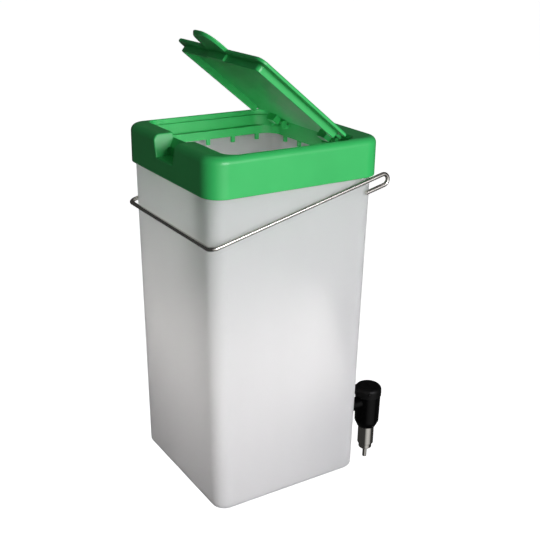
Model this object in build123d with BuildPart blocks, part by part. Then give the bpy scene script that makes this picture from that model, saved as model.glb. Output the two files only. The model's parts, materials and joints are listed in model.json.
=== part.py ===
"""Hanging nipple drinker: a one litre tank with a flip-lid cover, a wire hanger and an elbow nipple.

Frame: millimetres, +Z up, origin at the centre of the tank's bottom face.  The cover's finger
notch faces -Y.  The cage that carries the drinker stands on the +Y side.
"""
import os
from math import cos, radians, sin, tan

from build123d import *

os.makedirs("parts", exist_ok=True)

# ---------------------------------------------------------------- driving dimensions
# tank: a blow-moulded box that widens a little from front to back towards its rim
TANK_FOOT = (79.2, 79.4)
TANK_RIM = (79.4, 84.8)
TANK_HEIGHT = 159.4
TANK_CORNER = 7.0
TANK_WALL = 1.8
TANK_FLOOR = 2.0
TANK_FOOT_EDGE = 2.6

# feed line: the hole low in the tank's back wall that carries the elbow
FEED_Z = 8.2
FEED_TUBE_R = 3.6
FEED_BORE_R = 2.0
FEED_FIT = 0.05
BOSS_R = 6.6
BOSS_INNER_Y = 37.2
BOSS_OUTER_Y = 41.0
GASKET_R = 5.8
GASKET_THICK = 1.2
FLANGE_THICK = 2.0
NUT_ACROSS_FLATS = 10.4
NUT_THICK = 3.6

# cover: a shallow cap that slips over the tank's rim
COVER = (84.0, 88.0)
COVER_CORNER = 9.0
COVER_BOTTOM = 152.4
COVER_TOP = 170.2
COVER_EDGE = 3.2
SOCKET_GAP = 0.4
SOCKET_TOP = 159.7
LEDGE_TOP = 162.3
REBATE_BOTTOM = 167.6
TOP_SKIN = 2.0
COVER_FOOT_EDGE = 0.4

# filling opening: a stepped well, rounder at the back than at the front
WELL_HALF_X = 38.2
WELL_FRONT = -33.4
WELL_BACK = 31.5
WELL_STEP = 0.8
WELL_FRONT_CORNER = 4.5
WELL_BACK_CORNER = 7.5
WELL_MOUTH_EDGE = 0.6
WELL_STEP_EDGE = 0.3

# locating ring and ribs below the well, inside the tank's rim
RING_INNER = (72.4, 68.8)
RING_CORNER = 8.0
RING_WALL = 1.4
RING_BOTTOM = 158.3
RIB_BOTTOM = 155.4
RIB_WIDTH = 1.8
RIB_PITCH_Y = 14.0
RIB_SHIFT_Y = -2.5
RIBS_ALONG_Y = 5
RIB_PITCH_X = 12.5
RIBS_ALONG_X = 5

# finger notch in the cover's front rail
NOTCH_TOP_HALF = 10.4
NOTCH_FLOOR_HALF = 8.0
NOTCH_FLOOR_Z = 160.3
NOTCH_WALL = 1.5
NOTCH_EDGE = 0.6
RAMP_TOP_Z = 168.0
RAMP_FOOT = (-36.6, 164.3)
RECESS_R = 3.7
RECESS_HALF_X = 11.6
RAIL_POCKET_INNER = 36.2

# flip lid: all heights and depths below are those of the closed lid
HINGE_Y = 28.4
HINGE_Z = 167.2
HINGE_ROD_R = 1.0
LID_OPEN = 39.0
LID_HALF_X = 37.6
LID_FRONT = -33.0
LID_BACK = 24.2
LID_TAIL_BACK = 29.4
LID_TAIL_HALF_X = 28.0
LID_TOP = 170.0
LID_THICK = 1.6
LID_FRONT_CORNER = 4.0
LID_BACK_CORNER = 1.2
LID_EDGE = 0.8
LID_UNDER_EDGE = 0.4
SKIRT_HALF_X = 34.2
SKIRT_FRONT = -29.8
SKIRT_BACK = 21.2
SKIRT_BOTTOM = 165.3
SKIRT_WALL = 1.5
SKIRT_CORNER = 2.0
SKIRT_EDGE = 0.4
LEVEL_SLACK = 0.01
TONGUE_BASE_HALF = 10.0
TONGUE_TIP_HALF = 9.6
TONGUE_TIP_Y = -44.8
TONGUE_TIP_CORNER = 8.0
TONGUE_TAPER = 35.0
TONGUE_EDGE = 0.4
CATCH_HALF_X = 7.5
CATCH_DEPTH = 1.2
CATCH_RIB_HALF_X = 6.0
CATCH_RIB_Y = -31.2
CATCH_RIB_Z = (163.4, 164.9)

# snap hinge: two C-shaped lugs on the lid clip over two moulded rods of the cover
LUG_X = 21.5
LUG_WIDTH = 6.0
LUG_R = 2.25
LUG_ARM = 4.6
LUG_MOUTH = 1.7
ROD_FIT = 0.05
POST_GAP = 1.2
POST_THICK = 1.8
POST_R = 1.1
POST_FOOT_Z = 164.4
POST_SHOULDER_Z = 165.9

# hanger: one length of round wire bent to a loop with two hooks
WIRE_R = 1.0
HANGER_X = 41.2
HANGER_FRONT_Y = -43.4
HANGER_SLOPE = 13.5
HOOK_Y = 45.2
HOOK_Z = 150.1
HOOK_BEND_R = 2.6
HOOK_LEG = 10.3
HANGER_CORNER_R = 3.5

# elbow and nipple, on a vertical axis behind the cage
DROP_Y = 77.6
ELBOW_TOP_R = 7.1
ELBOW_BOTTOM_R = 6.8
ELBOW_BOTTOM_Z = -4.0
ELBOW_NOSE_Z = -7.4
ELBOW_NOSE_R = 5.2
ELBOW_SPLIT_Z = 12.0
ELBOW_NECK_R = 6.0
ELBOW_NECK_Z = 14.5
CAP_R = 7.4
CAP_TOP_Z = 18.0
CAP_EDGE = 2.7
CAP_FIT = 0.03
NUB_Z = 15.2
NUB_R = 0.9
NUB_COUNT = 6
NUB_START = 27.0
GATE_R = 0.9
GATE_RISE = 0.3

NIPPLE_R = 4.5
NIPPLE_FIT = 0.05
NIPPLE_TOP_Z = 3.0
NIPPLE_BOTTOM_Z = -18.9
NIPPLE_EDGE = 0.5
CHAMBER_R = 3.0
CHAMBER_FLOOR_Z = -16.9
INLET_R = 2.4
PLUG_Z = (-5.0, -3.0)
PLUG_BORE_R = 1.2
GROOVE_Z = -1.0
O_RING_R = 0.5
RING_R = 3.7
RING_BOTTOM_Z = -22.0
RING_EDGE = 0.6
SPIGOT_R = 2.35
PIN_GUIDE_R = 1.5
PIN_R = 1.2
PIN_BOTTOM_Z = -28.2
PIN_HEAD_R = 2.4
PIN_HEAD_Z = (-15.7, -14.5)
PIN_STEM_R = 0.9
PIN_STEM_TOP_Z = -8.0
SPRING_R = 1.6
SPRING_WIRE_R = 0.25
SPRING_TURNS = 5


def tank_half_y(height):
    """Half of the tank's outside depth at a height above its foot."""
    share = height / TANK_HEIGHT
    return (TANK_FOOT[1] + (TANK_RIM[1] - TANK_FOOT[1]) * share) / 2


def save(piece, name):
    """Label a finished piece and write its STEP file."""
    piece.label = name
    export_step(piece, f"parts/{name}.step")


# ---------------------------------------------------------------- tank
feed_plane = Plane(origin=(0, 0, FEED_Z), x_dir=(1, 0, 0), z_dir=(0, 1, 0))

with BuildPart() as tank:
    with BuildSketch(Plane.XY) as foot:
        RectangleRounded(*TANK_FOOT, TANK_CORNER)
    with BuildSketch(Plane.XY.offset(TANK_HEIGHT)) as rim:
        RectangleRounded(*TANK_RIM, TANK_CORNER)
    loft()
    fillet(tank.faces().sort_by(Axis.Z)[0].edges(), TANK_FOOT_EDGE)
    with BuildSketch(Plane.XY.offset(TANK_FLOOR)):
        floor_depth = 2 * (tank_half_y(TANK_FLOOR) - TANK_WALL)
        RectangleRounded(TANK_FOOT[0] - 2 * TANK_WALL, floor_depth, TANK_CORNER - TANK_WALL)
    with BuildSketch(Plane.XY.offset(TANK_HEIGHT)):
        RectangleRounded(TANK_RIM[0] - 2 * TANK_WALL, TANK_RIM[1] - 2 * TANK_WALL,
                         TANK_CORNER - TANK_WALL)
    loft(mode=Mode.SUBTRACT)
    with BuildSketch(feed_plane.offset(BOSS_INNER_Y)):
        Circle(BOSS_R)
    extrude(amount=BOSS_OUTER_Y - BOSS_INNER_Y)
    with BuildSketch(feed_plane.offset(BOSS_INNER_Y)):
        Circle(FEED_TUBE_R + FEED_FIT)
    extrude(amount=BOSS_OUTER_Y - BOSS_INNER_Y, mode=Mode.SUBTRACT)
save(tank.part, "tank")

# ---------------------------------------------------------------- cover
socket_size = (TANK_RIM[0] + 2 * SOCKET_GAP, TANK_RIM[1] + 2 * SOCKET_GAP)
socket_corner = TANK_CORNER + SOCKET_GAP
front_face_y = -COVER[1] / 2
rebate_front = WELL_FRONT - WELL_STEP


def well_outline(grow):
    """Draw the filling opening, offset outwards by grow: rounder corners at the back."""
    half_x = WELL_HALF_X + grow
    front = WELL_FRONT - grow
    back = WELL_BACK + grow
    with Locations((0, (front + back) / 2)):
        Rectangle(2 * half_x, back - front)
    fillet(vertices().group_by(Axis.Y)[0], WELL_FRONT_CORNER + grow)
    fillet(vertices().group_by(Axis.Y)[-1], WELL_BACK_CORNER + grow)


def side_plane(offset):
    """A plane across X at the given offset, drawn with Y to the right and Z up."""
    return Plane(origin=(offset, 0, 0), x_dir=(0, 1, 0), z_dir=(1, 0, 0))


def on_notch_rim(edge):
    """Whether an edge of the finger notch is a convex one on the cover's front or top."""
    place = edge.center()
    outside = place.Y < front_face_y + NOTCH_EDGE or place.Z > RAMP_TOP_Z + NOTCH_EDGE
    return outside and abs(place.X) <= NOTCH_TOP_HALF and not edge.is_interior


with BuildPart() as cover:
    with BuildSketch(Plane.XY.offset(COVER_BOTTOM)):
        RectangleRounded(*COVER, COVER_CORNER)
    extrude(amount=COVER_TOP - COVER_BOTTOM)
    fillet(cover.faces().sort_by(Axis.Z)[-1].edges(), COVER_EDGE)
    # socket for the tank's rim
    with BuildSketch(Plane.XY.offset(COVER_BOTTOM)):
        RectangleRounded(*socket_size, socket_corner)
    extrude(amount=SOCKET_TOP - COVER_BOTTOM, mode=Mode.SUBTRACT)
    # pockets under the front and back rails
    with BuildSketch(Plane.XY.offset(SOCKET_TOP)):
        RectangleRounded(*socket_size, socket_corner)
        Rectangle(socket_size[0], 2 * RAIL_POCKET_INNER, mode=Mode.SUBTRACT)
        with Locations((0, front_face_y)):
            Rectangle(2 * (RECESS_HALF_X + NOTCH_WALL), COVER[1] / 2, mode=Mode.SUBTRACT)
    extrude(amount=COVER_TOP - TOP_SKIN - SOCKET_TOP, mode=Mode.SUBTRACT)
    # locating ring with its ribs
    with BuildSketch(Plane.XY.offset(RING_BOTTOM)):
        RectangleRounded(RING_INNER[0] + 2 * RING_WALL, RING_INNER[1] + 2 * RING_WALL,
                         RING_CORNER + RING_WALL)
    extrude(amount=SOCKET_TOP - RING_BOTTOM)
    rib_x = (RING_INNER[0] + RING_WALL) / 2
    rib_y = (RING_INNER[1] + RING_WALL) / 2
    with BuildSketch(Plane.XY.offset(RIB_BOTTOM)):
        with Locations((0, RIB_SHIFT_Y)):
            with GridLocations(2 * rib_x, RIB_PITCH_Y, 2, RIBS_ALONG_Y):
                Rectangle(RING_WALL, RIB_WIDTH)
        with GridLocations(RIB_PITCH_X, 2 * rib_y, RIBS_ALONG_X, 2):
            Rectangle(RIB_WIDTH, RING_WALL)
    extrude(amount=SOCKET_TOP - RIB_BOTTOM)
    # stepped filling opening
    with BuildSketch(Plane.XY.offset(RING_BOTTOM)):
        RectangleRounded(*RING_INNER, RING_CORNER)
    extrude(amount=LEDGE_TOP - RING_BOTTOM, mode=Mode.SUBTRACT)
    with BuildSketch(Plane.XY.offset(LEDGE_TOP)):
        well_outline(0)
    extrude(amount=REBATE_BOTTOM - LEDGE_TOP, mode=Mode.SUBTRACT)
    with BuildSketch(Plane.XY.offset(REBATE_BOTTOM)):
        well_outline(WELL_STEP)
    extrude(amount=COVER_TOP - REBATE_BOTTOM, mode=Mode.SUBTRACT)
    mouth = cover.edges(Select.LAST)
    fillet(mouth.filter_by_position(Axis.Z, COVER_TOP - WELL_MOUTH_EDGE, COVER_TOP), WELL_MOUTH_EDGE)
    level_faces = cover.faces().filter_by(Axis.Z)
    step_face = level_faces.filter_by_position(Axis.Z, REBATE_BOTTOM, REBATE_BOTTOM)[0]
    fillet(step_face.inner_wires().edges(), WELL_STEP_EDGE)
    fillet(cover.faces().sort_by(Axis.Z)[0].outer_wire().edges(), COVER_FOOT_EDGE)
    # finger notch: tapered side walls, a sloping back and a rounded undercut at its foot
    with BuildSketch(Plane.XZ.offset(-rebate_front)):
        with BuildLine():
            Polyline((-NOTCH_FLOOR_HALF, NOTCH_FLOOR_Z), (NOTCH_FLOOR_HALF, NOTCH_FLOOR_Z),
                     (NOTCH_TOP_HALF, COVER_TOP), (-NOTCH_TOP_HALF, COVER_TOP),
                     (-NOTCH_FLOOR_HALF, NOTCH_FLOOR_Z))
        make_face()
    notch_block = extrude(amount=COVER[1] / 2 + rebate_front, mode=Mode.PRIVATE)
    with BuildSketch(side_plane(-COVER[0] / 2)):
        with BuildLine():
            Polyline((RAMP_FOOT[0], NOTCH_FLOOR_Z), RAMP_FOOT, (rebate_front, RAMP_TOP_Z),
                     (rebate_front, NOTCH_FLOOR_Z), (RAMP_FOOT[0], NOTCH_FLOOR_Z))
        make_face()
    ramp_block = extrude(amount=COVER[0], mode=Mode.PRIVATE)
    add(notch_block - ramp_block, mode=Mode.SUBTRACT)
    fillet(cover.edges(Select.LAST).filter_by(on_notch_rim), NOTCH_EDGE)
    with BuildSketch(side_plane(-RECESS_HALF_X)):
        with Locations((RAMP_FOOT[0], NOTCH_FLOOR_Z)):
            Circle(RECESS_R)
            Rectangle(2 * RECESS_R, RECESS_R, align=(Align.CENTER, Align.MAX), mode=Mode.SUBTRACT)
            Rectangle(RECESS_R, 2 * RECESS_R, align=(Align.MIN, Align.CENTER), mode=Mode.SUBTRACT)
    extrude(amount=2 * RECESS_HALF_X, mode=Mode.SUBTRACT)
    # rib that the lid's catch snaps past
    with BuildSketch(Plane.XY.offset(CATCH_RIB_Z[0])):
        with Locations((0, WELL_FRONT)):
            Rectangle(2 * CATCH_RIB_HALF_X, CATCH_RIB_Y - WELL_FRONT,
                      align=(Align.CENTER, Align.MIN))
    extrude(amount=CATCH_RIB_Z[1] - CATCH_RIB_Z[0])
    # hinge rods between pairs of posts
    for side in (-1, 1):
        half_span = LUG_WIDTH / 2 + POST_GAP + POST_THICK
        with BuildSketch(side_plane(side * LUG_X - half_span)):
            with Locations((HINGE_Y, HINGE_Z)):
                Circle(HINGE_ROD_R)
        extrude(amount=2 * half_span)
        for end in (-1, 1):
            post_middle = side * LUG_X + end * (half_span - POST_THICK / 2)
            with BuildSketch(side_plane(post_middle - POST_THICK / 2)):
                with Locations((HINGE_Y, HINGE_Z)):
                    Circle(POST_R)
                with Locations((HINGE_Y, POST_FOOT_Z)):
                    Rectangle(2 * POST_R, HINGE_Z - POST_FOOT_Z, align=(Align.CENTER, Align.MIN))
                    Rectangle(WELL_BACK - HINGE_Y, POST_SHOULDER_Z - POST_FOOT_Z,
                              align=(Align.MIN, Align.MIN))
            extrude(amount=POST_THICK)
save(cover.part, "cover")

# ---------------------------------------------------------------- flip lid
# drawn in the closed lid's own plane, whose origin is the hinge axis, and stood open
lid_plane = Plane(origin=(0, HINGE_Y, HINGE_Z)).rotated((-LID_OPEN, 0, 0))
lid_up = Axis(lid_plane.origin, lid_plane.z_dir)
lid_back = Axis(lid_plane.origin, lid_plane.y_dir)


def lid_level(closed_z):
    """The lid's drawing plane at a height given for the closed lid."""
    return lid_plane.offset(closed_z - HINGE_Z)


def lid_edges(lid, height, back_limit):
    """The lid's level edges at a height of the closed lid, as far back as back_limit."""
    level = height - HINGE_Z
    slab = lid.edges().filter_by_position(lid_up, level - LEVEL_SLACK, level + LEVEL_SLACK)
    return slab.filter_by_position(lid_back, -COVER[1], back_limit - HINGE_Y)


with BuildPart() as flip_lid:
    plate_length = LID_BACK - LID_FRONT
    plate_middle = (LID_BACK + LID_FRONT) / 2 - HINGE_Y
    with BuildSketch(lid_level(LID_TOP - LID_THICK)):
        with Locations((0, plate_middle)):
            Rectangle(2 * LID_HALF_X, plate_length)
        fillet(vertices().group_by(Axis.Y)[0], LID_FRONT_CORNER)
        fillet(vertices().group_by(Axis.Y)[-1], LID_BACK_CORNER)
        with Locations((0, LID_BACK - HINGE_Y)):
            Rectangle(2 * LID_TAIL_HALF_X, LID_TAIL_BACK - LID_BACK,
                      align=(Align.CENTER, Align.MIN))
    extrude(amount=LID_THICK)
    fillet(flip_lid.faces().sort_by(lid_up)[-1].edges(), LID_EDGE)
    fillet(flip_lid.faces().sort_by(lid_up)[0].edges(), LID_UNDER_EDGE)
    # finger tongue with a well rounded tip and undercut sides
    with BuildSketch(lid_level(LID_TOP)):
        base_y = SKIRT_FRONT - HINGE_Y
        tip_y = TONGUE_TIP_Y - HINGE_Y
        Polygon((-TONGUE_BASE_HALF, base_y), (TONGUE_BASE_HALF, base_y),
                (TONGUE_TIP_HALF, tip_y), (-TONGUE_TIP_HALF, tip_y), align=None)
        fillet(vertices().group_by(Axis.Y)[0], TONGUE_TIP_CORNER)
    extrude(amount=-LID_THICK, taper=TONGUE_TAPER)
    fillet(lid_edges(flip_lid, LID_TOP, LID_FRONT), TONGUE_EDGE)
    # skirt: front wall and two side walls
    with BuildSketch(lid_level(SKIRT_BOTTOM)):
        with Locations((0, SKIRT_FRONT - HINGE_Y)):
            Rectangle(2 * SKIRT_HALF_X, SKIRT_BACK - SKIRT_FRONT, align=(Align.CENTER, Align.MIN))
        fillet(vertices().group_by(Axis.Y)[0], SKIRT_CORNER)
        with Locations((0, SKIRT_FRONT + SKIRT_WALL - HINGE_Y)):
            Rectangle(2 * (SKIRT_HALF_X - SKIRT_WALL), SKIRT_BACK - SKIRT_FRONT,
                      align=(Align.CENTER, Align.MIN), mode=Mode.SUBTRACT)
    extrude(amount=LID_TOP - LID_THICK - SKIRT_BOTTOM)
    # catch pad on the front wall
    with BuildSketch(lid_level(SKIRT_BOTTOM)):
        with Locations((0, SKIRT_FRONT - HINGE_Y)):
            Rectangle(2 * CATCH_HALF_X, CATCH_DEPTH, align=(Align.CENTER, Align.MAX))
    extrude(amount=LID_TOP - LID_THICK - SKIRT_BOTTOM)
    fillet(lid_edges(flip_lid, SKIRT_BOTTOM, SKIRT_BACK + SKIRT_EDGE), SKIRT_EDGE)
    # hinge lugs
    for side in (-1, 1):
        lug_plane = Plane(origin=lid_plane.from_local_coords((side * LUG_X - LUG_WIDTH / 2, 0, 0)),
                          x_dir=lid_plane.y_dir, z_dir=lid_plane.x_dir)
        lug_top = LID_TOP - LID_THICK - HINGE_Z
        with BuildSketch(lug_plane):
            Circle(LUG_R)
            Rectangle(LUG_ARM, LUG_R, align=(Align.MAX, Align.MAX))
            Rectangle(LUG_ARM, lug_top, align=(Align.MAX, Align.MIN))
            with Locations((0, lug_top)):
                Rectangle(2 * LUG_R, LUG_R, align=(Align.CENTER, Align.MIN), mode=Mode.SUBTRACT)
            Circle(HINGE_ROD_R + ROD_FIT, mode=Mode.SUBTRACT)
            Rectangle(LUG_MOUTH, 2 * LUG_R, align=(Align.CENTER, Align.MAX), mode=Mode.SUBTRACT)
        extrude(amount=LUG_WIDTH)
save(flip_lid.part, "flip_lid")

# ---------------------------------------------------------------- hanger
slope = radians(HANGER_SLOPE)
hook_top = (HOOK_Y - HOOK_BEND_R * sin(slope), HOOK_Z + HOOK_BEND_R * cos(slope))
hook_foot = (HOOK_Y + HOOK_BEND_R * sin(slope), HOOK_Z - HOOK_BEND_R * cos(slope))
hook_tip = (hook_foot[0] - HOOK_LEG * cos(slope), hook_foot[1] - HOOK_LEG * sin(slope))
hook_back = (HOOK_Y + HOOK_BEND_R * cos(slope), HOOK_Z + HOOK_BEND_R * sin(slope))
hanger_front_z = hook_top[1] + (HANGER_FRONT_Y - hook_top[0]) * tan(slope)
corner_run = HANGER_CORNER_R * cos(slope)
corner_drop = HANGER_CORNER_R * sin(slope)
corner_bulge = HANGER_CORNER_R * (1 - cos(radians(45)))


def hook_path(side):
    """The lower leg, the bend round the cage wire and the arm of one side."""
    x = side * HANGER_X
    arm_end = (x, HANGER_FRONT_Y + corner_run, hanger_front_z + corner_drop)
    Line((x, *hook_tip), (x, *hook_foot))
    ThreePointArc((x, *hook_foot), (x, *hook_back), (x, *hook_top))
    Line((x, *hook_top), arm_end)
    middle = (side * (HANGER_X - corner_bulge),
              HANGER_FRONT_Y + corner_bulge * cos(slope),
              hanger_front_z + corner_bulge * sin(slope))
    front_end = (side * (HANGER_X - HANGER_CORNER_R), HANGER_FRONT_Y, hanger_front_z)
    ThreePointArc(arm_end, middle, front_end)
    return front_end


with BuildPart() as hanger_wire:
    with BuildLine() as hanger_path:
        left_end = hook_path(-1)
        right_end = hook_path(1)
        Line(left_end, right_end)
    tip_normal = (0, cos(slope), sin(slope))
    with BuildSketch(Plane(origin=(-HANGER_X, *hook_tip), x_dir=(1, 0, 0), z_dir=tip_normal)):
        Circle(WIRE_R)
    sweep(path=hanger_path.wire(), transition=Transition.RIGHT)
save(hanger_wire.part, "hanger_wire")

# ---------------------------------------------------------------- elbow
drop_plane = Plane(origin=(0, DROP_Y, 0), x_dir=(1, 0, 0), z_dir=(0, -1, 0))
drop_axis = Axis((0, DROP_Y, 0), (0, 0, 1))
flange_y = BOSS_OUTER_Y + GASKET_THICK
nipple_socket_r = NIPPLE_R + NIPPLE_FIT


def turned(points):
    """Turn a closed half profile of (radius, height) points full circle on the drop axis."""
    with BuildSketch(drop_plane) as profile:
        Polygon(*points, align=None)
    revolve(profile.sketch, axis=drop_axis)


with BuildPart() as elbow_body:
    turned([(0, ELBOW_NOSE_Z), (ELBOW_NOSE_R, ELBOW_NOSE_Z), (ELBOW_BOTTOM_R, ELBOW_BOTTOM_Z),
            (ELBOW_TOP_R, ELBOW_SPLIT_Z), (ELBOW_NECK_R, ELBOW_SPLIT_Z),
            (ELBOW_NECK_R, ELBOW_NECK_Z), (0, ELBOW_NECK_Z)])
    with BuildSketch(feed_plane.offset(BOSS_INNER_Y - NUT_THICK)):
        Circle(FEED_TUBE_R)
    extrude(amount=DROP_Y - BOSS_INNER_Y + NUT_THICK)
    with BuildSketch(feed_plane.offset(flange_y)):
        Circle(GASKET_R)
    extrude(amount=FLANGE_THICK)
    with BuildSketch(feed_plane.offset(BOSS_INNER_Y - NUT_THICK)):
        Circle(FEED_BORE_R)
    extrude(amount=DROP_Y - BOSS_INNER_Y + NUT_THICK, mode=Mode.SUBTRACT)
    with BuildSketch(Plane.XY.offset(ELBOW_NOSE_Z)):
        with Locations((0, DROP_Y)):
            Circle(nipple_socket_r)
    extrude(amount=ELBOW_NECK_Z - ELBOW_NOSE_Z, mode=Mode.SUBTRACT)
save(elbow_body.part, "elbow_body")

with BuildPart() as elbow_cap:
    turned([(0, ELBOW_NECK_Z), (ELBOW_NECK_R + CAP_FIT, ELBOW_NECK_Z),
            (ELBOW_NECK_R + CAP_FIT, ELBOW_SPLIT_Z), (CAP_R, ELBOW_SPLIT_Z), (CAP_R, CAP_TOP_Z),
            (0, CAP_TOP_Z)])
    fillet(elbow_cap.edges().group_by(Axis.Z)[-1], CAP_EDGE)
    with Locations((0, DROP_Y, NUB_Z)):
        with PolarLocations(CAP_R - NUB_R / 4, NUB_COUNT, start_angle=NUB_START):
            Sphere(NUB_R)
    with Locations((0, DROP_Y, CAP_TOP_Z)):
        Cylinder(GATE_R, GATE_RISE, align=(Align.CENTER, Align.CENTER, Align.MIN))
save(elbow_cap.part, "elbow_cap")

with BuildPart() as outer_gasket:
    with BuildSketch(feed_plane.offset(BOSS_OUTER_Y)):
        Circle(GASKET_R)
        Circle(FEED_TUBE_R + FEED_FIT, mode=Mode.SUBTRACT)
    extrude(amount=GASKET_THICK)
save(outer_gasket.part, "outer_gasket")

with BuildPart() as lock_nut:
    with BuildSketch(feed_plane.offset(BOSS_INNER_Y - NUT_THICK)):
        RegularPolygon(NUT_ACROSS_FLATS / 2, 6, major_radius=False)
        Circle(FEED_TUBE_R + FEED_FIT, mode=Mode.SUBTRACT)
    extrude(amount=NUT_THICK)
save(lock_nut.part, "lock_nut")

# ---------------------------------------------------------------- nipple
groove_floor_r = NIPPLE_R - 2 * O_RING_R
groove_half = O_RING_R * 1.1

with BuildPart() as nipple_body:
    turned([(SPIGOT_R, NIPPLE_BOTTOM_Z), (NIPPLE_R - NIPPLE_EDGE, NIPPLE_BOTTOM_Z),
            (NIPPLE_R, NIPPLE_BOTTOM_Z + NIPPLE_EDGE), (NIPPLE_R, GROOVE_Z - groove_half),
            (groove_floor_r, GROOVE_Z - groove_half), (groove_floor_r, GROOVE_Z + groove_half),
            (NIPPLE_R, GROOVE_Z + groove_half), (NIPPLE_R, NIPPLE_TOP_Z),
            (INLET_R, NIPPLE_TOP_Z), (INLET_R, PLUG_Z[1]), (CHAMBER_R, PLUG_Z[1]),
            (CHAMBER_R, CHAMBER_FLOOR_Z), (SPIGOT_R, CHAMBER_FLOOR_Z)])
save(nipple_body.part, "nipple_body")

with BuildPart() as nipple_o_ring:
    with BuildSketch(drop_plane):
        with Locations((NIPPLE_R - O_RING_R, GROOVE_Z)):
            Circle(O_RING_R)
    revolve(axis=drop_axis)
save(nipple_o_ring.part, "nipple_o_ring")

with BuildPart() as nipple_end_ring:
    turned([(PIN_GUIDE_R, RING_BOTTOM_Z), (RING_R - RING_EDGE, RING_BOTTOM_Z),
            (RING_R, RING_BOTTOM_Z + RING_EDGE), (RING_R, NIPPLE_BOTTOM_Z),
            (SPIGOT_R, NIPPLE_BOTTOM_Z), (SPIGOT_R, CHAMBER_FLOOR_Z),
            (PIN_GUIDE_R, CHAMBER_FLOOR_Z)])
save(nipple_end_ring.part, "nipple_end_ring")

with BuildPart() as valve_seal:
    turned([(PIN_GUIDE_R, CHAMBER_FLOOR_Z), (CHAMBER_R, CHAMBER_FLOOR_Z),
            (CHAMBER_R, PIN_HEAD_Z[0]), (PIN_GUIDE_R, PIN_HEAD_Z[0])])
save(valve_seal.part, "valve_seal")

with BuildPart() as nipple_pin:
    turned([(0, PIN_BOTTOM_Z), (PIN_R, PIN_BOTTOM_Z), (PIN_R, PIN_HEAD_Z[0]),
            (PIN_HEAD_R, PIN_HEAD_Z[0]), (PIN_HEAD_R, PIN_HEAD_Z[1]),
            (PIN_STEM_R, PIN_HEAD_Z[1]), (PIN_STEM_R, PIN_STEM_TOP_Z), (0, PIN_STEM_TOP_Z)])
    fillet(nipple_pin.edges().group_by(Axis.Z)[0], PIN_R / 3)
save(nipple_pin.part, "nipple_pin")

with BuildPart() as nipple_spring:
    spring_foot = PIN_HEAD_Z[1] + SPRING_WIRE_R
    spring_rise = PLUG_Z[0] - PIN_HEAD_Z[1] - 2 * SPRING_WIRE_R
    with BuildLine() as coil:
        Helix(spring_rise / SPRING_TURNS, spring_rise, SPRING_R, center=(0, DROP_Y, spring_foot))
    with BuildSketch(Plane(origin=coil.line @ 0, z_dir=coil.line % 0)):
        Circle(SPRING_WIRE_R)
    sweep(path=coil.line, is_frenet=True)
save(nipple_spring.part, "nipple_spring")

with BuildPart() as nipple_plug:
    turned([(PLUG_BORE_R, PLUG_Z[0]), (CHAMBER_R, PLUG_Z[0]), (CHAMBER_R, PLUG_Z[1]),
            (PLUG_BORE_R, PLUG_Z[1])])
save(nipple_plug.part, "nipple_plug")
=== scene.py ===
"""Looks for the hanging nipple drinker tank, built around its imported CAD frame."""
import json
import math

import bpy
from mathutils import Matrix, Vector


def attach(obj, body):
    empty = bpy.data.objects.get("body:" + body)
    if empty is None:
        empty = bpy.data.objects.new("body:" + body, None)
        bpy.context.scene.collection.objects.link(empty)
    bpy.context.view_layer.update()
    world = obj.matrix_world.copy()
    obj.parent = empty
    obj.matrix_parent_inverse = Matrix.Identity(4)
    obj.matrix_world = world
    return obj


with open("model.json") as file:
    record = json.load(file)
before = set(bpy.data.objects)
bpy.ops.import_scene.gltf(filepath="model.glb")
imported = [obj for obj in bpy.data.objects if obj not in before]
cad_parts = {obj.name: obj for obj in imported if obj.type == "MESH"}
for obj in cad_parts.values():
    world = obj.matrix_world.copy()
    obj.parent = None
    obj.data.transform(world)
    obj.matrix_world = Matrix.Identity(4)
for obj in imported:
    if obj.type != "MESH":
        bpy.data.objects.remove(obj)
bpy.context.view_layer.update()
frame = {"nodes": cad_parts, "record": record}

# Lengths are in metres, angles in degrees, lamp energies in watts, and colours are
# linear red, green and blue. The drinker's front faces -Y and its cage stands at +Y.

scene = bpy.context.scene


# ---------------------------------------------------------------- materials
# Noise seldom leaves this range, so colours and values are spread over it.
NOISE_LOW = 0.3
NOISE_HIGH = 0.7


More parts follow.
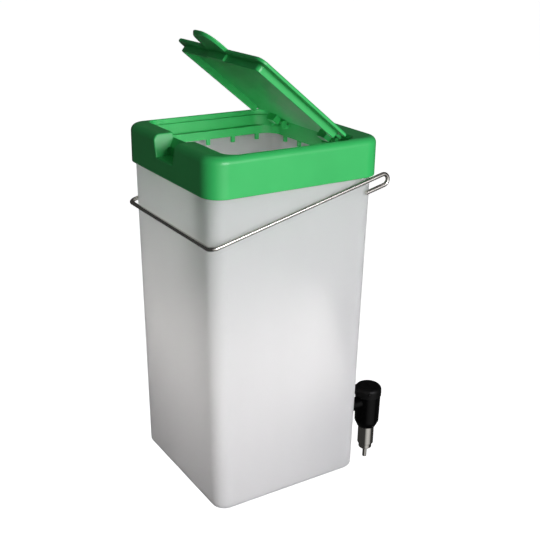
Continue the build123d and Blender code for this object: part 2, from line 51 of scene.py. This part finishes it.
class Material:
    """A node material with short helpers for adding nodes and links.

    Keyword names stand for socket names, with underscores in place of spaces.
    """

    def __init__(self, name):
        self.data = bpy.data.materials.new(name)
        self.data.use_nodes = True
        self.nodes = self.data.node_tree.nodes
        self.links = self.data.node_tree.links
        self.shader = self.nodes["Principled BSDF"]
        self.place = self.add("ShaderNodeTexCoord").outputs["Object"]

    def add(self, kind, **values):
        """Add a node with the given input values."""
        node = self.nodes.new(kind)
        for key, value in values.items():
            node.inputs[key.replace("_", " ")].default_value = value
        return node

    def set(self, **values):
        """Give the shader uniform values."""
        for key, value in values.items():
            self.shader.inputs[key.replace("_", " ")].default_value = value

    def vary(self, **sources):
        """Give the shader values that vary over the surface."""
        for key, source in sources.items():
            self.links.new(source, self.shader.inputs[key.replace("_", " ")])

    def noise(self, size, detail=2.0, finer=(1.0, 1.0, 1.0)):
        """Noise whose features are about size across, and finer along an axis by its factor."""
        mapping = self.add("ShaderNodeMapping", Scale=finer)
        self.links.new(self.place, mapping.inputs["Vector"])
        node = self.add("ShaderNodeTexNoise", Scale=1.0 / size, Detail=detail)
        self.links.new(mapping.outputs["Vector"], node.inputs["Vector"])
        return node.outputs["Fac"]

    def colour(self, noise, low, high):
        """Map a noise value to a colour between low and high."""
        node = self.add("ShaderNodeValToRGB")
        first, last = node.color_ramp.elements
        first.position = NOISE_LOW
        first.color = (*low, 1.0)
        last.position = NOISE_HIGH
        last.color = (*high, 1.0)
        self.links.new(noise, node.inputs["Fac"])
        return node.outputs["Color"]

    def value(self, noise, low, high):
        """Map a noise value to a number between low and high."""
        node = self.add("ShaderNodeMapRange", From_Min=NOISE_LOW, From_Max=NOISE_HIGH,
                        To_Min=low, To_Max=high)
        self.links.new(noise, node.inputs["Value"])
        return node.outputs["Result"]

    def bump(self, noise, height, below=None):
        """A bump of the given height, on top of an earlier one if below is given."""
        node = self.add("ShaderNodeBump", Strength=1.0, Distance=height)
        self.links.new(noise, node.inputs["Height"])
        if below is not None:
            self.links.new(below, node.inputs["Normal"])
        return node.outputs["Normal"]


def green_plastic():
    """Glossy green plastic, faintly clouded, with a fine grain over shallow moulding waves."""
    m = Material("green_plastic")
    cloud = m.noise(size=0.025, detail=3.0)
    grain = m.bump(m.noise(size=0.0006), height=0.000012)
    m.vary(
        Base_Color=m.colour(cloud, low=(0.036, 0.47, 0.112), high=(0.042, 0.52, 0.128)),
        Roughness=m.value(m.noise(size=0.012, detail=1.0), low=0.28, high=0.34),
        Normal=m.bump(m.noise(size=0.02, detail=1.0), height=0.00025, below=grain))
    m.set(IOR=1.49)
    return m.data


def tank_plastic():
    """Milky white plastic that light soaks into, clouded in tall streaks."""
    m = Material("tank_plastic")
    cloud = m.noise(size=0.02, detail=3.0, finer=(1.0, 1.0, 0.25))
    grain = m.bump(m.noise(size=0.0008), height=0.00001)
    m.vary(
        Base_Color=m.colour(cloud, low=(0.87, 0.86, 0.875), high=(0.885, 0.875, 0.895)),
        Roughness=m.value(m.noise(size=0.006, detail=3.0), low=0.36, high=0.46),
        Normal=m.bump(m.noise(size=0.03, detail=1.0), height=0.0004, below=grain))
    m.set(IOR=1.5, Subsurface_Weight=1.0, Subsurface_Scale=0.02,
          Subsurface_Radius=(1.0, 1.0, 1.0))
    return m.data


STEEL_LINE = 0.0004
STEEL_LINE_HEIGHT = 0.000002
STEEL_SHADE = 0.9
STEEL_ROUGHNESS_SPREAD = 0.1


def steel(name, colour, roughness, finer=(1.0, 1.0, 1.0)):
    """Bright steel with fine lines: longer along a drawn wire, closer along a turned tube."""
    m = Material(name)
    lines = m.noise(size=STEEL_LINE, finer=finer)
    shade = tuple(value * STEEL_SHADE for value in colour)
    m.vary(
        Base_Color=m.colour(lines, low=shade, high=colour),
        Roughness=m.value(lines, low=roughness * (1.0 - STEEL_ROUGHNESS_SPREAD),
                          high=roughness * (1.0 + STEEL_ROUGHNESS_SPREAD)),
        Normal=m.bump(lines, height=STEEL_LINE_HEIGHT))
    m.set(Metallic=1.0)
    return m.data


BLACK_CLOUD = 0.003
BLACK_GRAIN = 0.0004
BLACK_SHADE = 0.7
BLACK_ROUGHNESS_SPREAD = 0.15
BLACK_SHINE = 0.12


def black(name, colour, roughness, height):
    """Black moulded plastic or rubber with grain of the given height."""
    m = Material(name)
    cloud = m.noise(size=BLACK_CLOUD, detail=3.0)
    shade = tuple(value * BLACK_SHADE for value in colour)
    m.vary(
        Base_Color=m.colour(cloud, low=shade, high=colour),
        Roughness=m.value(cloud, low=roughness * (1.0 - BLACK_ROUGHNESS_SPREAD),
                          high=roughness * (1.0 + BLACK_ROUGHNESS_SPREAD)),
        Normal=m.bump(m.noise(size=BLACK_GRAIN), height=height))
    m.set(Specular_IOR_Level=BLACK_SHINE)
    return m.data


FINISH = {
    "green_plastic": green_plastic(),
    "tank_plastic": tank_plastic(),
    "hanger_steel": steel("hanger_steel", colour=(0.68, 0.65, 0.61), roughness=0.24,
                          finer=(1.0, 0.25, 1.0)),
    "nipple_steel": steel("nipple_steel", colour=(0.60, 0.58, 0.54), roughness=0.12,
                          finer=(1.0, 1.0, 6.0)),
    "spring_steel": steel("spring_steel", colour=(0.52, 0.52, 0.52), roughness=0.3),
    "black_plastic": black("black_plastic", colour=(0.0012, 0.0012, 0.0013), roughness=0.22,
                           height=0.000006),
    "black_rubber": black("black_rubber", colour=(0.004, 0.004, 0.004), roughness=0.4,
                          height=0.00002),
}
for part in frame["record"]["subparts"]:
    frame["nodes"][part["node"]].data.materials[0] = FINISH[part["material_slot"]]


# ---------------------------------------------------------------- camera
CAMERA_PLACE = (0.3508, -0.2100, 0.2582)
CAMERA_AZIMUTH = 57.74
CAMERA_ELEVATION = 20.99
CAMERA_ROLL = 0.88
FOCAL_LENGTH_MM = 60.42
SENSOR_WIDTH_MM = 36.0


def turn(angle, axis):
    """A rotation matrix for an angle about one axis."""
    return Matrix.Rotation(math.radians(angle), 4, axis)


def photo_camera():
    """A camera at the photo's angle, with its azimuth counted from -Y towards +X."""
    camera = bpy.data.cameras.new("camera")
    camera.sensor_width = SENSOR_WIDTH_MM
    camera.lens = FOCAL_LENGTH_MM
    made = bpy.data.objects.new("camera", camera)
    scene.collection.objects.link(made)
    facing = turn(CAMERA_AZIMUTH, "Z") @ turn(90.0 - CAMERA_ELEVATION, "X") @ turn(CAMERA_ROLL, "Z")
    made.matrix_world = Matrix.Translation(CAMERA_PLACE) @ facing
    return made


scene.camera = photo_camera()


# ---------------------------------------------------------------- stage and light
# The drinker hangs in the air, so the floor lies well below it.
FLOOR_Z = -0.12
FLOOR_HALF = 8.0
FLOOR_GLOW = 0.9
WHITE = (1.0, 1.0, 1.0, 1.0)

# What the lamps face, unless they are given another target.
DRINKER_MIDDLE = (0.0, 0.0, 0.09)

# The room is dim where a direction's x is below BRIGHTER_FROM, and gets bright towards +X.
ROOM_DIM = 0.055
ROOM_BRIGHT = 1.3
BRIGHTER_FROM = 0.6


def floor():
    """A wide pale floor that glows, but doesn't light the drinker or show in its reflections."""
    mesh = bpy.data.meshes.new("floor")
    corners = [(x * FLOOR_HALF, y * FLOOR_HALF, FLOOR_Z) for x, y in ((-1, -1), (1, -1), (1, 1), (-1, 1))]
    mesh.from_pydata(corners, [], [(0, 1, 2, 3)])
    made = bpy.data.objects.new("floor", mesh)
    scene.collection.objects.link(made)
    paper = Material("paper")
    cloud = paper.noise(size=0.3)
    paper.vary(Base_Color=paper.colour(cloud, low=(0.87, 0.87, 0.87), high=(0.9, 0.9, 0.9)))
    paper.set(Roughness=0.9, Emission_Color=WHITE, Emission_Strength=FLOOR_GLOW)
    mesh.materials.append(paper.data)
    made.visible_diffuse = False
    made.visible_glossy = False


def softbox(name, place, size, energy, colour, target=DRINKER_MIDDLE, spread=180.0):
    """A rectangular area light at place that faces its target and isn't seen itself."""
    lamp = bpy.data.lights.new(name, "AREA")
    lamp.shape = "RECTANGLE"
    lamp.size, lamp.size_y = size
    lamp.energy = energy
    lamp.color = colour
    lamp.spread = math.radians(spread)
    made = bpy.data.objects.new(name, lamp)
    made.location = place
    made.rotation_euler = (Vector(target) - Vector(place)).to_track_quat("-Z", "Y").to_euler()
    made.visible_camera = False
    scene.collection.objects.link(made)
    return made


def studio():
    """A room that is dim all round and brighter towards +X, and that the camera sees as white."""
    world = bpy.data.worlds.new("studio")
    world.use_nodes = True
    nodes = world.node_tree.nodes
    links = world.node_tree.links
    background = nodes["Background"]
    background.inputs["Color"].default_value = WHITE
    direction = nodes.new("ShaderNodeSeparateXYZ")
    links.new(nodes.new("ShaderNodeTexCoord").outputs["Generated"], direction.inputs["Vector"])
    glow = nodes.new("ShaderNodeMapRange")
    glow.inputs["From Min"].default_value = BRIGHTER_FROM
    glow.inputs["From Max"].default_value = 1.0
    glow.inputs["To Min"].default_value = ROOM_DIM
    glow.inputs["To Max"].default_value = ROOM_BRIGHT
    links.new(direction.outputs["X"], glow.inputs["Value"])
    seen = nodes.new("ShaderNodeMix")
    seen.inputs["B"].default_value = 1.0
    links.new(nodes.new("ShaderNodeLightPath").outputs["Is Camera Ray"], seen.inputs["Factor"])
    links.new(glow.outputs["Result"], seen.inputs["A"])
    links.new(seen.outputs["Result"], background.inputs["Strength"])
    scene.world = world


floor()
softbox("key", place=(1.2, 0.10, 0.36), size=(0.8, 0.5), energy=10.6, colour=(0.95, 0.95, 1.0))

# A milky tank glows with the light that its other walls let in. These lamps stand for it: the
# first faces the front wall, and the second lights the far wall seen through the opening. The
# first is tilted, so its top is inside the tank and its bottom is just behind the back wall.
inner_lamps = (
    softbox("inner_front", place=(0.0, 0.037, 0.056), size=(0.066, 0.104), energy=0.031,
            colour=(1.0, 0.965, 0.94), target=(0.0, -1.0, -0.22), spread=128.0),
    softbox("inner_side", place=(0.034, 0.0, 0.148), size=(0.06, 0.012), energy=0.012,
            colour=(1.0, 0.99, 0.98), target=(-1.0, 0.0, -0.10), spread=120.0),
)
for lamp in inner_lamps:
    lamp.visible_glossy = False
    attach(lamp, "tank")

softbox("top", place=(-0.2, 0.2, 1.5), size=(1.0, 1.0), energy=0.6, colour=(1.0, 0.98, 0.95))
studio()
scene.view_settings.view_transform = "Standard"
